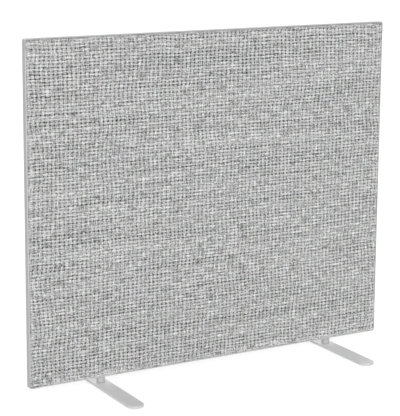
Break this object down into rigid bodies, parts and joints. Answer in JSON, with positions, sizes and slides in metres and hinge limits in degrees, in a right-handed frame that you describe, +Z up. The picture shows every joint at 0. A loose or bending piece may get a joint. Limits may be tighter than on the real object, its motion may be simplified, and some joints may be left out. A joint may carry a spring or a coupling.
{
  "type": "acoustic divider screen",
  "caption": "Free-standing fabric-covered acoustic panel with a slim aluminium edge, on flat swivelling feet.",
  "frame": {"origin": "on the floor, midway along the panel and midway through its depth", "axes": "+X along the panel to the viewer's right, +Y through the panel from front to rear, +Z up"},
  "size_m": [1.45, 0.58, 1.23],
  "materials": {
    "fabric": "coarse basket weave, pale grey, matt",
    "felt": "needled felt, grey",
    "absorber": "pressed mineral-fibre slab",
    "timber": "planed softwood",
    "dowel": "fluted beech dowel, modelled plain",
    "edge": "satin, pale grey",
    "insert": "plain",
    "foot_metal": "satin silver powder coat",
    "bolt": "zinc plated",
    "washer": "natural nylon",
    "pad": "matt black"
  },
  "bodies": {
    "screen": {"front_fabric_cover": "fabric", "rear_fabric_cover": "fabric", "front_felt_facing": "felt", "rear_felt_facing": "felt", "left_absorber_slab": "absorber", "right_absorber_slab": "absorber", "left_stile": "timber", "right_stile": "timber", "middle_stile": "timber", "top_rail": "timber", "bottom_rail": "timber", "frame_dowels": "dowel", "top_edge_profile": "edge", "bottom_edge_profile": "edge", "left_edge_profile": "edge", "right_edge_profile": "edge", "top_left_corner_piece": "edge", "top_right_corner_piece": "edge", "bottom_left_corner_piece": "edge", "bottom_right_corner_piece": "edge", "threaded_inserts": "insert", "left_standoff": "foot_metal", "right_standoff": "foot_metal", "swivel_washers": "washer", "foot_bolts": "bolt"},
    "left_foot": {"left_foot": "foot_metal", "left_foot_pads": "pad"},
    "right_foot": {"right_foot": "foot_metal", "right_foot_pads": "pad"}
  },
  "joints": [
    {"name": "left_foot_swivel", "type": "hinge", "parent": "screen", "child": "left_foot", "pos_m": [-0.45, 0, 0.006], "axis": [0, 0, 1], "range_deg": [-90, 90]},
    {"name": "right_foot_swivel", "type": "hinge", "parent": "screen", "child": "right_foot", "pos_m": [0.505, 0, 0.006], "axis": [0, 0, 1], "range_deg": [-90, 90]}
  ]
}
